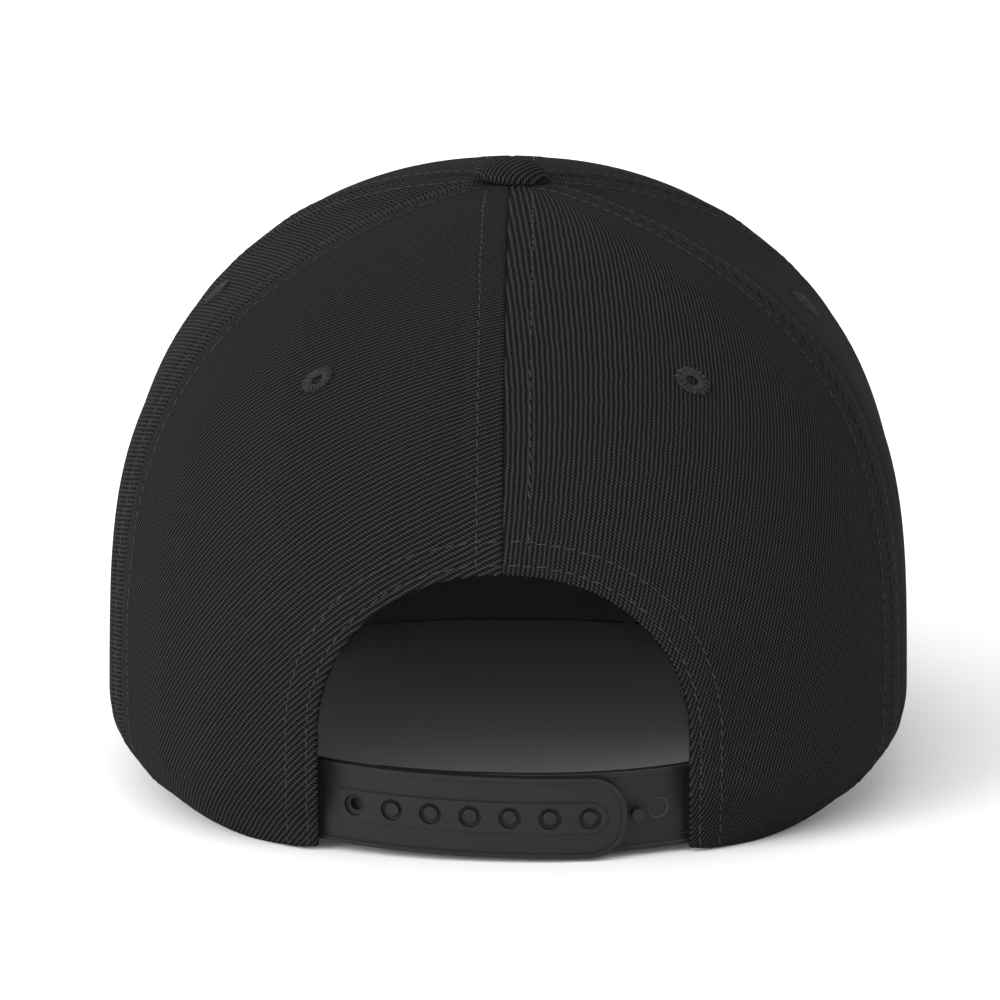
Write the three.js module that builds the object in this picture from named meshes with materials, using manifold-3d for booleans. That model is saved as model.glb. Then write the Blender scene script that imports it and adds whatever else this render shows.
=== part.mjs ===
// A six-panel snapback cap that stands on its back hem and on the two sides of its peak.
// Millimetres, +Z up, the peak to -Y, the wearer's left to +X.
import * as THREE from "three";
import { mergeVertices } from "three/addons/utils/BufferGeometryUtils.js";
import Module from "manifold-3d";

const wasm = await Module();
wasm.setup();

// Clearance between pieces that are sewn or pressed together
const gap = 0.3;

// Crown, on the outer face of the cloth and in the plane of its rim
const rimHalfWidth = 84;
const rimBackReach = 101.5;
const rimFrontReach = 99;
const rimSquareness = 2.4;
const rimFrontDip = 4;
const rimDipStart = 20;
const rimDipCurve = 1.3;
const rimBackLift = 1;
const rimLiftStart = 82;
const bellyHeight = 19;
const bellyOutSide = 11.6;
const bellyOutBack = 11.4;
const bellyOutFront = 2;
const crownHeight = 131.8;
const apexForward = 10.8;
const sideFullness = 1.51;
const backFullness = 2.08;
const frontFullness = 2.74;
const shoulderFullness = 3.42;
const panelFlatness = 0.015;
const clothThickness = 2;

// Seams between the panels, as angles from the middle of the back
const seams = [
  { rimAngle: 0, apexAngle: 0 },
  { rimAngle: 57.8, apexAngle: 60 },
  { rimAngle: 128, apexAngle: 120 },
  { rimAngle: 180, apexAngle: 180 },
];

// Opening in the back
const archHalfWidth = 41.6;
const archHeight = 68.2;
const archStraight = 28;
const archRoundness = 2.15;

// Button and the hole in the cloth under it
const buttonRadius = 8.6;
const buttonHeight = 5;
const apexHoleRadius = 4;

// Sewn eyelets
const eyeletRise = 0.745;
const eyeletRadius = 3.5;
const eyeletHoleRadius = 1;
const eyeletStitchHeight = 0.8;
const eyeletCutRadius = 2.2;

// Sweatband
const bandHeight = 30;
const bandThickness = 1.5;
const bandRaise = 1;
const bandEase = 12;
const bandFromArch = 3.5;

// Peak
const peakLength = 70;
const peakHalfWidth = 91;
const peakTempleAngle = 52;
const peakFall = 3;
const peakCamber = 5;
const peakTopThickness = 2.4;
const peakUnderThickness = 1;
const peakEdgeLip = 1.5;

// Peak outline beyond the temple: shares of its half width, and of the way from temple to tip
const peakOutline = [
  { across: 0.935, along: 0.13 },
  { across: 0.99, along: 0.3 },
  { across: 1, along: 0.45 },
  { across: 0.95, along: 0.64 },
  { across: 0.8, along: 0.81 },
  { across: 0.5, along: 0.95 },
  { across: 0, along: 1 },
];

// Snap closure: two plastic halves, the one with holes over the one with pegs
const strapHeight = 18.6;
const strapRaise = 2.2;
const outerSlope = 0.018;
const strapTab = 12;
const strapEndRadius = 8;
const outerThickness = 2;
const innerThickness = 1.7;
const rimBeadWidth = 0.9;
const rimBeadHeight = 0.5;
const trackHeight = 6.6;
const trackMargin = 3.6;
const holeCount = 7;
const holePitch = 8.75;
const firstHoleFromCloth = 9.4;
const lastHoleToEnd = 8;
const holeRadius = 1.65;
const counterboreRadius = 2.5;
const counterboreDepth = 0.8;
const freePegStep = 11;
const pegRadius = 1.3;
const pegHeadRadius = 1.9;
const pegHeadHeight = 0.6;
const innerTipFromPeg = 4.4;
const strapCrossStart = -14;

const degrees = Math.PI / 180;
const cloth = new THREE.MeshStandardMaterial({ name: "wool_twill", color: 0x2a2a2b, roughness: 0.95 });
const bandCloth = new THREE.MeshStandardMaterial({ name: "band_cotton", color: 0x1c1c1d, roughness: 0.95 });
const thread = new THREE.MeshStandardMaterial({ name: "polyester_thread", color: 0x323233, roughness: 0.7 });
const plastic = new THREE.MeshStandardMaterial({ name: "moulded_plastic", color: 0x38383a, roughness: 0.5 });

function smooth(value, from, to) {
  return THREE.MathUtils.smoothstep(value, from, to);
}

function mix(from, to, share) {
  return from + (to - from) * share;
}

// A closed block whose lattice of columns, rows and layers is put in place by a function of three shares
function shapedBlock(columns, rows, layers, place) {
  const geometry = new THREE.BoxGeometry(1, 1, 1, columns, rows, layers);
  const position = geometry.getAttribute("position");
  for (let i = 0; i < position.count; i += 1) {
    const column = Math.round((position.getX(i) + 0.5) * columns);
    const row = Math.round((position.getY(i) + 0.5) * rows);
    const layer = Math.round((position.getZ(i) + 0.5) * layers);
    const point = place(column / columns, row / rows, layer / layers);
    position.setXYZ(i, point.x, point.y, point.z);
  }
  geometry.computeVertexNormals();
  return geometry;
}

function solidOf(geometry) {
  const bare = new THREE.BufferGeometry();
  bare.setAttribute("position", geometry.getAttribute("position"));
  bare.setIndex(geometry.getIndex());
  const merged = mergeVertices(bare, 1e-4);
  const triVerts = new Uint32Array(merged.getIndex().array);
  const vertProperties = new Float32Array(merged.getAttribute("position").array);
  return new wasm.Manifold(new wasm.Mesh({ numProp: 3, vertProperties, triVerts }));
}

function geometryOf(solid) {
  const mesh = solid.getMesh();
  const geometry = new THREE.BufferGeometry();
  geometry.setAttribute("position", new THREE.BufferAttribute(mesh.vertProperties, 3));
  geometry.setIndex(new THREE.BufferAttribute(mesh.triVerts, 1));
  return geometry;
}

// Crown surface. An angle runs round from the middle of the back towards +X, and a share runs from
// the rim, 0, over the belly to the apex, 1.
const domeHeight = crownHeight - bellyHeight;
const bellyShare = bellyHeight / (bellyHeight + 1.5 * domeHeight);

function ovalRadius(angle, halfWidth, backReach, frontReach) {
  const across = Math.abs(Math.sin(angle)) / halfWidth;
  const along = Math.abs(Math.cos(angle)) / (Math.cos(angle) > 0 ? backReach : frontReach);
  return (across ** rimSquareness + along ** rimSquareness) ** (-1 / rimSquareness);
}

function rimRadius(angle) {
  return ovalRadius(angle, rimHalfWidth, rimBackReach, rimFrontReach);
}

function bellyRadius(angle) {
  const back = rimBackReach + bellyOutBack;
  const front = rimFrontReach + bellyOutFront;
  return ovalRadius(angle, rimHalfWidth + bellyOutSide, back, front);
}

// The rim dips towards the peak, and lifts a little where the closure pulls on its back corners
function rimHeight(y) {
  const forward = Math.max(0, (rimDipStart - y) / (rimDipStart + rimFrontReach));
  const lift = rimBackLift * smooth(y, rimLiftStart, rimBackReach - 7);
  return lift - rimFrontDip * forward ** rimDipCurve;
}

function fullness(angle) {
  const ends = Math.cos(angle) > 0 ? backFullness : frontFullness;
  return mix(ends, sideFullness, Math.sin(angle) ** 2);
}

function domeAngle(share) {
  const climb = THREE.MathUtils.clamp((share - bellyShare) / (1 - bellyShare), 0, 1);
  return (Math.PI / 2) * climb ** (shoulderFullness / 2);
}

function shareOfDome(dome) {
  return mix(bellyShare, 1, (dome / (Math.PI / 2)) ** (2 / shoulderFullness));
}

function riseAt(share) {
  return Math.sin(domeAngle(share)) ** (2 / shoulderFullness);
}

function shareAtRise(rise) {
  return shareOfDome(Math.asin(rise ** (shoulderFullness / 2)));
}

function shareAtHeight(height) {
  if (height < bellyHeight) return (bellyShare * height) / bellyHeight;
  return shareAtRise((height - bellyHeight) / domeHeight);
}

function shareAtRadius(angle, radius) {
  return shareOfDome(Math.acos((radius / bellyRadius(angle)) ** (fullness(angle) / 2)));
}

function seamAngle(seam, share) {
  return mix(seams[seam].rimAngle, seams[seam].apexAngle, riseAt(share)) * degrees;
}

// How far a panel is drawn in between its seams, as a share of the radius
function drawnIn(angle, share) {
  const turn = Math.abs(Math.atan2(Math.sin(angle), Math.cos(angle)));
  const next = turn < seamAngle(1, share) ? 1 : turn < seamAngle(2, share) ? 2 : 3;
  const low = seamAngle(next - 1, share);
  const high = seamAngle(next, share);
  const climb = Math.min(1, share / bellyShare);
  return panelFlatness * Math.sin((Math.PI * (turn - low)) / (high - low)) ** 2 * climb;
}

function crownRadius(angle, share) {
  const rim = rimRadius(angle);
  const belly = bellyRadius(angle);
  const climb = Math.min(1, share / bellyShare);
  const wall = rim + (belly - rim) * (1 - (1 - climb) ** 2);
  const dome = belly * Math.cos(domeAngle(share)) ** (2 / fullness(angle));
  return (share < bellyShare ? wall : dome) * (1 - drawnIn(angle, share));
}

function crownPoint(angle, share) {
  const rise = riseAt(share);
  const radius = crownRadius(angle, share);
  const y = radius * Math.cos(angle) - apexForward * rise;
  const low = rimHeight(y);
  const wall = mix(low, bellyHeight, Math.min(1, share / bellyShare));
  const height = share < bellyShare ? wall : bellyHeight + domeHeight * rise;
  return new THREE.Vector3(radius * Math.sin(angle), y, height);
}

function crownNormal(angle, share) {
  const step = 1e-3;
  const lower = Math.max(0, share - step);
  const upward = crownPoint(angle, share + step).sub(crownPoint(angle, lower));
  const round = crownPoint(angle + step, share).sub(crownPoint(angle - step, share));
  return upward.cross(round).normalize();
}

// A point that lies some way into the cloth from its outer face
function clothPoint(angle, share, depth) {
  return crownPoint(angle, share).addScaledVector(crownNormal(angle, share), -depth);
}

function angleAtWidth(width, share) {
  let low = 0;
  let high = Math.PI / 2;
  for (let i = 0; i < 40; i += 1) {
    const middle = (low + high) / 2;
    if (crownPoint(middle, share).x < width) low = middle;
    else high = middle;
  }
  return low;
}

// Half the gap at a seam, as an angle
function seamInset(angle, share) {
  return gap / 2 / crownRadius(angle, share);
}

function angleInPanel(panel, across, share) {
  const low = seamAngle(panel, share);
  const high = seamAngle(panel + 1, share);
  return mix(low + seamInset(low, share), high - seamInset(high, share), across);
}

function acrossPanel(panel, angle, share) {
  const low = seamAngle(panel, share);
  const high = seamAngle(panel + 1, share);
  const inset = seamInset(angle, share);
  return THREE.MathUtils.clamp((angle - low - inset) / (high - low - 2 * inset), 0, 1);
}

// Lower edge of a back panel: over the arch, down its side, then along the rim
const backColumns = { arch: 6, side: 3, rim: 5 };
const archCornerAngle = angleAtWidth(archHalfWidth, 0);

function archEdge(turn) {
  const width = archHalfWidth * Math.sin(turn) ** (2 / archRoundness);
  const climb = Math.max(0, Math.cos(turn)) ** (2 / archRoundness);
  const share = shareAtHeight(mix(archStraight, archHeight, climb));
  return { across: acrossPanel(0, angleAtWidth(width, share), share), share };
}

function backEdge(along) {
  const columns = backColumns.arch + backColumns.side + backColumns.rim;
  const archEnd = backColumns.arch / columns;
  const sideEnd = archEnd + backColumns.side / columns;
  if (along < archEnd) return archEdge((along / archEnd) * (Math.PI / 2));
  if (along < sideEnd) {
    const share = shareAtHeight(archStraight * (1 - (along - archEnd) / (sideEnd - archEnd)));
    return { across: acrossPanel(0, angleAtWidth(archHalfWidth, share), share), share };
  }
  const corner = acrossPanel(0, archCornerAngle, 0);
  return { across: mix(corner, 1, (along - sideEnd) / (1 - sideEnd)), share: 0 };
}

function plainEdge(along) {
  return { across: along, share: 0 };
}

// Rows lie closer together near the rim, where the cloth turns out to the belly
function panelGeometry(panel, columns, rows, edge) {
  return shapedBlock(columns, rows, 1, (column, row, layer) => {
    const start = edge(1 - column);
    const topAngle = angleInPanel(panel, 1 - column, 0.97);
    const top = shareAtRadius(topAngle, apexHoleRadius);
    const climb = row ** 1.3;
    const share = mix(start.share, top, climb);
    const across = mix(start.across, 1 - column, climb);
    const angle = angleInPanel(panel, across, share);
    return clothPoint(angle, share, clothThickness * (1 - layer));
  });
}

// Eyelets: one in the middle of each panel, a ring of thread round a small hole
function eyeletPlace(panel) {
  const share = shareAtRise(eyeletRise);
  const angle = angleInPanel(panel, 0.5, share);
  return { point: crownPoint(angle, share), normal: crownNormal(angle, share) };
}

function turnUpright(object, place) {
  object.quaternion.setFromUnitVectors(new THREE.Vector3(0, 1, 0), place.normal);
  object.position.copy(place.point);
  object.updateMatrix();
}

function pierced(geometry, place) {
  const cutter = new THREE.Object3D();
  turnUpright(cutter, place);
  const drill = new THREE.CylinderGeometry(eyeletCutRadius, eyeletCutRadius, 6 * clothThickness, 14);
  return geometryOf(solidOf(geometry).subtract(solidOf(drill.applyMatrix4(cutter.matrix))));
}

function eyeletGeometry() {
  const sleeve = eyeletCutRadius - gap;
  const profile = [
    [eyeletHoleRadius, -clothThickness],
    [sleeve, -clothThickness],
    [sleeve, gap],
    [eyeletRadius, gap],
    [eyeletRadius - 0.3, gap + 0.55 * eyeletStitchHeight],
    [mix(sleeve, eyeletRadius, 0.4), gap + eyeletStitchHeight],
    [eyeletHoleRadius + 0.2, gap + 0.6 * eyeletStitchHeight],
    [eyeletHoleRadius, -clothThickness],
  ];
  return new THREE.LatheGeometry(profile.map(([r, y]) => new THREE.Vector2(r, y)), 14);
}

// Button: a cloth-covered dome on a shank that fills the hole at the apex
function buttonGeometry() {
  const shank = apexHoleRadius - gap;
  const points = [new THREE.Vector2(0, -clothThickness), new THREE.Vector2(shank, -clothThickness)];
  points.push(new THREE.Vector2(shank, gap), new THREE.Vector2(buttonRadius - 0.6, gap));
  for (let i = 0; i <= 6; i += 1) {
    const turn = (i / 6) * (Math.PI / 2);
    const radius = buttonRadius * Math.cos(turn);
    const height = gap + 0.6 + (buttonHeight - 0.6) * Math.sin(turn);
    points.push(new THREE.Vector2(i === 6 ? 0 : radius, height));
  }
  return new THREE.LatheGeometry(points, 24);
}

// Line that the closure follows: just inside the inner edge of the rim, with its length measured
// from the middle of the back, positive towards +X
function rimInset(angle) {
  const inner = clothPoint(angle, 0, clothThickness);
  return rimRadius(angle) - Math.hypot(inner.x, inner.y) + gap;
}

class StrapLine extends THREE.Curve {
  getPoint(share) {
    const angle = mix(-1.2, 1.2, share);
    const radius = rimRadius(angle) - rimInset(angle);
    return new THREE.Vector3(radius * Math.sin(angle), radius * Math.cos(angle), 0);
  }
}

const strapLine = new StrapLine();
strapLine.arcLengthDivisions = 600;
const strapLineLength = strapLine.getLength();

function strapShare(along) {
  return 0.5 + along / strapLineLength;
}

function alongStrapAt(width) {
  let low = 0;
  let high = strapLineLength / 2;
  for (let i = 0; i < 40; i += 1) {
    const middle = (low + high) / 2;
    if (strapLine.getPointAt(strapShare(middle)).x < width) low = middle;
    else high = middle;
  }
  return low;
}

const clothEdge = alongStrapAt(archHalfWidth);
const strapMiddle = strapRaise + strapHeight / 2;

// The inner half lies against the crown at its own root, and further in towards the other one
const outerOver = gap + outerThickness;

function innerSeat(along, height, depth) {
  const point = strapLine.getPointAt(strapShare(along));
  const tangent = strapLine.getTangentAt(strapShare(along));
  const outward = new THREE.Vector3(-tangent.y, tangent.x, 0);
  const cross = outerOver * smooth(along, strapCrossStart, clothEdge - 1);
  point.addScaledVector(outward, -depth - cross);
  point.z = height;
  return point;
}

// The outer half lies on the inner one, and its free end hangs a little lower than its root
function outerSeat(along, height, depth) {
  return innerSeat(along, height + outerSlope * along, depth - outerOver);
}

// Stations along a strap: a straight root and a rounded free end
function strapStations(end, root, half, radius, turns) {
  const stations = [];
  const towards = Math.sign(root - end);
  for (let i = 0; i <= turns; i += 1) {
    const turn = (i / turns) * (Math.PI / 2);
    const along = end + towards * radius * (1 - Math.cos(turn));
    stations.push({ along, half: half - radius + radius * Math.sin(turn) });
  }
  const from = stations[turns].along;
  const steps = Math.max(2, Math.round(Math.abs(root - from) / 5));
  for (let i = 1; i <= steps; i += 1) stations.push({ along: mix(from, root, i / steps), half });
  return towards > 0 ? stations.reverse() : stations;
}

function strapBar(stations, seat, innerDepth, outerDepth) {
  const last = stations.length - 1;
  return solidOf(
    shapedBlock(last, 1, 1, (column, row, layer) => {
      const { along, half } = stations[Math.round(column * last)];
      return seat(along, strapMiddle + mix(-half, half, row), mix(innerDepth, outerDepth, layer));
    }),
  );
}

// A round pin or bore through a strap at a place along it, between two depths
function strapRound(seat, along, radius, innerDepth, outerDepth) {
  const inner = seat(along, strapMiddle, innerDepth);
  const outer = seat(along, strapMiddle, outerDepth);
  const axis = outer.clone().sub(inner);
  const pin = new THREE.Object3D();
  const place = { point: inner.clone().lerp(outer, 0.5), normal: axis.clone().normalize() };
  turnUpright(pin, place);
  const round = new THREE.CylinderGeometry(radius, radius, axis.length(), 14);
  return solidOf(round.applyMatrix4(pin.matrix));
}

const holes = [];
for (let i = 0; i < holeCount; i += 1) holes.push(clothEdge - firstHoleFromCloth - i * holePitch);
const lastHole = holes[holeCount - 1];
const outerEnd = lastHole - lastHoleToEnd;
const innerEnd = holes[1] + innerTipFromPeg;
const halfHeight = strapHeight / 2;

function sunkFace(seat, end, root) {
  const half = halfHeight - rimBeadWidth;
  const from = end + Math.sign(root - end) * rimBeadWidth;
  const stations = strapStations(from, root, half, strapEndRadius - rimBeadWidth, 6);
  return strapBar(stations, seat, rimBeadHeight, -1);
}

function strapOuterGeometry() {
  const root = clothEdge + strapTab;
  const blank = strapStations(outerEnd, root, halfHeight, strapEndRadius, 6);
  let strap = strapBar(blank, outerSeat, outerThickness, 0);
  const trackEnds = strapStations(lastHole - trackMargin, holes[0] + trackMargin, trackHeight / 2, 0.5, 1);
  const track = strapBar(trackEnds, outerSeat, 0.75 * outerThickness, -2);
  strap = strap.subtract(sunkFace(outerSeat, outerEnd, clothEdge - 1).subtract(track));
  for (const hole of holes) {
    strap = strap.subtract(strapRound(outerSeat, hole, holeRadius, outerThickness + 1, -1));
    strap = strap.subtract(strapRound(outerSeat, hole, counterboreRadius, counterboreDepth, -1));
  }
  return geometryOf(strap);
}

function strapInnerGeometry() {
  const root = -clothEdge - strapTab;
  const blank = strapStations(innerEnd, root, halfHeight, strapEndRadius, 6);
  let strap = strapBar(blank, innerSeat, innerThickness, 0);
  strap = strap.subtract(sunkFace(innerSeat, innerEnd, -clothEdge + 1));
  const pegs = [...holes.slice(1), lastHole - freePegStep];
  const foot = outerOver + 0.7 * innerThickness;
  const under = counterboreDepth - gap;
  for (const peg of pegs) {
    strap = strap.add(strapRound(outerSeat, peg, pegRadius, foot, under - pegHeadHeight / 2));
    strap = strap.add(strapRound(outerSeat, peg, pegHeadRadius, under, under - pegHeadHeight));
  }
  return geometryOf(strap);
}

// Sweatband: a plain strip that stands inside the rim, and passes inside the two strap tabs
function bandGeometry() {
  const startAngle = angleAtWidth(archHalfWidth + bandFromArch, 0);
  const tabEnd = clothEdge + strapTab;
  const tabDepth = outerThickness + gap;
  return shapedBlock(40, 2, 1, (column, row, layer) => {
    const angle = mix(2 * Math.PI - startAngle, startAngle, column);
    const turn = Math.abs(Math.atan2(Math.sin(angle), Math.cos(angle)));
    const along = turn * rimRadius(turn);
    const tuck = tabDepth * (1 - smooth(along, tabEnd + 2, tabEnd + 2 + bandEase));
    const radius = rimRadius(angle) - rimInset(angle) - tuck - bandThickness * (1 - layer);
    const y = radius * Math.cos(angle);
    const height = rimHeight(y) + bandRaise + bandHeight * row;
    return new THREE.Vector3(radius * Math.sin(angle), y, height);
  });
}

// Peak: an under cloth and a boarded top, from the front rim out to a rounded edge
const peakThickness = peakUnderThickness + gap + peakTopThickness;

function peakRoot(angle) {
  const low = rimHeight(rimRadius(angle) * Math.cos(angle));
  const share = (bellyShare * peakThickness) / (bellyHeight - low);
  const radius = crownRadius(angle, share) + gap;
  return new THREE.Vector3(radius * Math.sin(angle), radius * Math.cos(angle), low);
}

const temple = peakRoot(Math.PI - peakTempleAngle * degrees);
const peakTip = -rimFrontReach - peakLength;
const peakEdge = new THREE.CatmullRomCurve3([
  new THREE.Vector3(temple.x + peakEdgeLip, temple.y, 0),
  ...peakOutline.map(
    ({ across, along }) =>
      new THREE.Vector3(across * peakHalfWidth, mix(temple.y, peakTip, along), 0),
  ),
]);

function peakGeometry(base, thickness) {
  return shapedBlock(28, 7, 1, (column, row, layer) => {
    const side = 1 - 2 * column;
    const root = peakRoot(Math.PI - side * peakTempleAngle * degrees);
    const rimEdge = peakEdge.getPointAt(1 - Math.abs(side));
    rimEdge.x *= Math.sign(side);
    const point = new THREE.Vector3().lerpVectors(root, rimEdge.setZ(root.z), row);
    const reach = point.distanceTo(root) / peakLength;
    const curve = peakCamber * (point.x / peakHalfWidth) ** 2 * smooth(reach, 0, 0.5);
    point.z += base + thickness * layer - peakFall * reach - curve;
    return point;
  });
}

// The cap settles where the back of its rim and the lowest line of its peak reach one level
function lowest(points, tilt) {
  return Math.min(...points.map(({ y, z }) => z * Math.cos(tilt) - y * Math.sin(tilt)));
}

function settledTilt(underside) {
  const position = underside.getAttribute("position");
  const peak = [];
  for (let i = 0; i < position.count; i += 1) {
    peak.push(new THREE.Vector3().fromBufferAttribute(position, i));
  }
  const hem = [];
  for (let i = 0; i <= 20; i += 1) {
    hem.push(crownPoint(mix(archCornerAngle, seamAngle(1, 0), i / 20), 0));
  }
  let low = 0;
  let high = 0.3;
  for (let i = 0; i < 40; i += 1) {
    const tilt = (low + high) / 2;
    if (lowest(peak, tilt) < lowest(hem, tilt)) low = tilt;
    else high = tilt;
  }
  return low;
}

function piece(parent, name, geometry, material) {
  const mesh = new THREE.Mesh(geometry, material);
  mesh.name = name;
  parent.add(mesh);
  return mesh;
}

const rimFrame = new THREE.Group();
const leftHalf = new THREE.Group();
const rightHalf = new THREE.Group();
rightHalf.scale.x = -1;
rimFrame.add(leftHalf, rightHalf);

const panels = [
  { name: "back", columns: 14, rows: 12, edge: backEdge },
  { name: "side", columns: 9, rows: 12, edge: plainEdge },
  { name: "front", columns: 8, rows: 12, edge: plainEdge },
];

panels.forEach(({ name, columns, rows, edge }, panel) => {
  const place = eyeletPlace(panel);
  const shell = pierced(panelGeometry(panel, columns, rows, edge), place);
  for (const [side, half] of [["left", leftHalf], ["right", rightHalf]]) {
    piece(half, `panel_${name}_${side}`, shell, cloth);
    turnUpright(piece(half, `eyelet_${name}_${side}`, eyeletGeometry(), thread), place);
  }
});

const button = piece(rimFrame, "button", buttonGeometry(), cloth);
button.rotation.x = Math.PI / 2;
button.position.set(0, -apexForward, crownHeight);
piece(rimFrame, "sweatband", bandGeometry(), bandCloth);
const underside = peakGeometry(0, peakUnderThickness);
piece(rimFrame, "peak_under", underside, cloth);
piece(rimFrame, "peak_top", peakGeometry(peakUnderThickness + gap, peakTopThickness), cloth);
piece(rimFrame, "strap_outer", strapOuterGeometry(), plastic);
piece(rimFrame, "strap_inner", strapInnerGeometry(), plastic);

// At rest: tilted onto its supports, with the middle of its outline over the origin
rimFrame.rotation.x = -settledTilt(underside);
const cap = new THREE.Group();
cap.add(rimFrame);
cap.updateMatrixWorld(true);
const extent = new THREE.Box3().setFromObject(cap, true);
const middle = extent.getCenter(new THREE.Vector3());
rimFrame.position.set(-middle.x, -middle.y, -extent.min.z);

export default cap;
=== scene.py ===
"""A black six-panel snapback cap, seen from behind and made around its CAD frame."""

import bisect
import functools
import math
import random

import bmesh
import bpy
from mathutils import Matrix, Vector, noise


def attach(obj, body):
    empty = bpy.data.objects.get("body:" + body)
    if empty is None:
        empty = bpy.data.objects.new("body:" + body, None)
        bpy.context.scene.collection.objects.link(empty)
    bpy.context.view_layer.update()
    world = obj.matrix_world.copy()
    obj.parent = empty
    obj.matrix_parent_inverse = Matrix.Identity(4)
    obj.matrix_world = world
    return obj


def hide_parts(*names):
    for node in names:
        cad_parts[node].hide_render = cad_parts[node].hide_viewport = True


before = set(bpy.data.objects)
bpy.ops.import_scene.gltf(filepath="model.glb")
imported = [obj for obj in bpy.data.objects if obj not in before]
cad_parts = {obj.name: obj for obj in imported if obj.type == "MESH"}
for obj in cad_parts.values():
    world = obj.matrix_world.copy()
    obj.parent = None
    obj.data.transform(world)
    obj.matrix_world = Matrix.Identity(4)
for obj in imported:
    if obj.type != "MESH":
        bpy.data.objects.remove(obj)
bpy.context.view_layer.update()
scene = bpy.context.scene
mm = 0.001

# Camera
# The cap is looked at from behind and a little above, from just over a metre away
# through a long lens, as a catalogue picture of it is taken.
camera_place = Vector((-14.81, 1152.42, 310.33)) * mm
camera_target = Vector((2.23, 30.24, 59.47)) * mm
camera = bpy.data.objects.new("camera", bpy.data.cameras.new("camera"))
camera.data.sensor_width = 36
camera.data.lens = 173.1
camera.location = camera_place
camera.rotation_euler = (camera_target - camera_place).to_track_quat("-Z", "Y").to_euler()
scene.collection.objects.link(camera)
scene.camera = camera

# Crown form
# Six panels of firm cloth are sewn into a tall round crown. It narrows to the rim under
# a low belly, and it stands tilted back on its hem. Sizes are millimetres in the rim's plane.
rim_half_width = 84
rim_back_reach = 101.5
rim_front_reach = 99
rim_squareness = 2.4
rim_front_dip = 4
rim_dip_start = 20
rim_dip_curve = 1.3
rim_back_lift = 1
rim_lift_start = 82
rim_lift_end = 94.5
belly_height = 19
belly_out_side = 11.6
belly_out_back = 11.4
belly_out_front = 2
crown_height = 131.8
apex_forward = 10.8
side_fullness = 1.51
back_fullness = 2.08
front_fullness = 2.74
shoulder_fullness = 3.42
panel_flatness = 0.015
cloth_thickness = 2
seam_angles = ((0, 0), (57.8, 60), (128, 120), (180, 180))
settled_tilt = math.radians(2.985)
rim_place = Vector((0, 30.381, 4.304))
dome_height = crown_height - belly_height
belly_share = belly_height / (belly_height + 1.5 * dome_height)


def mix(start, end, share):
    return start + (end - start) * share


def smooth(value, start, end):
    share = min(1, max(0, (value - start) / (end - start)))
    return share * share * (3 - 2 * share)


def settle(point):
    """Takes a point from the rim's plane, in mm, to the standing cap, in metres."""
    return (Matrix.Rotation(-settled_tilt, 3, "X") @ point + rim_place) * mm


def oval_radius(angle, half_width, back, front):
    across = abs(math.sin(angle)) / half_width
    along = abs(math.cos(angle)) / (back if math.cos(angle) > 0 else front)
    return (across**rim_squareness + along**rim_squareness) ** (-1 / rim_squareness)


def rim_radius(angle):
    return oval_radius(angle, rim_half_width, rim_back_reach, rim_front_reach)


def belly_radius(angle):
    half_width = rim_half_width + belly_out_side
    back = rim_back_reach + belly_out_back
    return oval_radius(angle, half_width, back, rim_front_reach + belly_out_front)


def rim_height(y):
    forward = max(0, (rim_dip_start - y) / (rim_dip_start + rim_front_reach))
    lift = rim_back_lift * smooth(y, rim_lift_start, rim_lift_end)
    return lift - rim_front_dip * forward**rim_dip_curve


def dome_angle(share):
    climb = min(1, max(0, (share - belly_share) / (1 - belly_share)))
    return math.pi / 2 * climb ** (shoulder_fullness / 2)


def share_of_dome(dome):
    return mix(belly_share, 1, (dome / (math.pi / 2)) ** (2 / shoulder_fullness))


def rise_at(share):
    return math.sin(dome_angle(share)) ** (2 / shoulder_fullness)


def share_at_height(height):
    if height < belly_height:
        return belly_share * height / belly_height
    rise = (height - belly_height) / dome_height
    return share_of_dome(math.asin(rise ** (shoulder_fullness / 2)))


def seam_angle(seam, share):
    low, high = seam_angles[seam]
    return math.radians(mix(low, high, rise_at(share)))


def drawn_in(angle, share):
    turn = abs(math.atan2(math.sin(angle), math.cos(angle)))
    after = 1 if turn < seam_angle(1, share) else 2 if turn < seam_angle(2, share) else 3
    low, high = seam_angle(after - 1, share), seam_angle(after, share)
    wave = math.sin(math.pi * (turn - low) / (high - low)) ** 2
    return panel_flatness * wave * min(1, share / belly_share)


def crown_radius(angle, share):
    ends = back_fullness if math.cos(angle) > 0 else front_fullness
    fullness = mix(ends, side_fullness, math.sin(angle) ** 2)
    belly = belly_radius(angle)
    if share < belly_share:
        climb = share / belly_share
        radius = mix(rim_radius(angle), belly, 1 - (1 - climb) ** 2)
    else:
        radius = belly * max(0, math.cos(dome_angle(share))) ** (2 / fullness)
    return radius * (1 - drawn_in(angle, share))


def crown_point(angle, share):
    rise = rise_at(share)
    radius = crown_radius(angle, share)
    y = radius * math.cos(angle) - apex_forward * rise
    height = belly_height + dome_height * rise
    if share < belly_share:
        height = mix(rim_height(y), belly_height, share / belly_share)
    return Vector((radius * math.sin(angle), y, height))


def crown_normal(angle, share):
    step = 1e-3
    upward = crown_point(angle, share + step) - crown_point(angle, max(0, share - step))
    around = crown_point(angle + step, share) - crown_point(angle - step, share)
    return upward.cross(around).normalized()


# Flat pattern of a panel
# Each panel is cut flat, so seams, hems, stitches and the run of the twill are worked out
# on it: x runs from the seam nearer the back, y is the height up the middle of the panel.
pattern_steps = 160
apex_hole = 4


def read_off(keys, values, key):
    """The value at a key, between the entries of a table with rising keys."""
    after = min(max(bisect.bisect_left(keys, key), 1), len(keys) - 1)
    low, high = keys[after - 1], keys[after]
    return mix(values[after - 1], values[after], (key - low) / (high - low))


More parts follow.
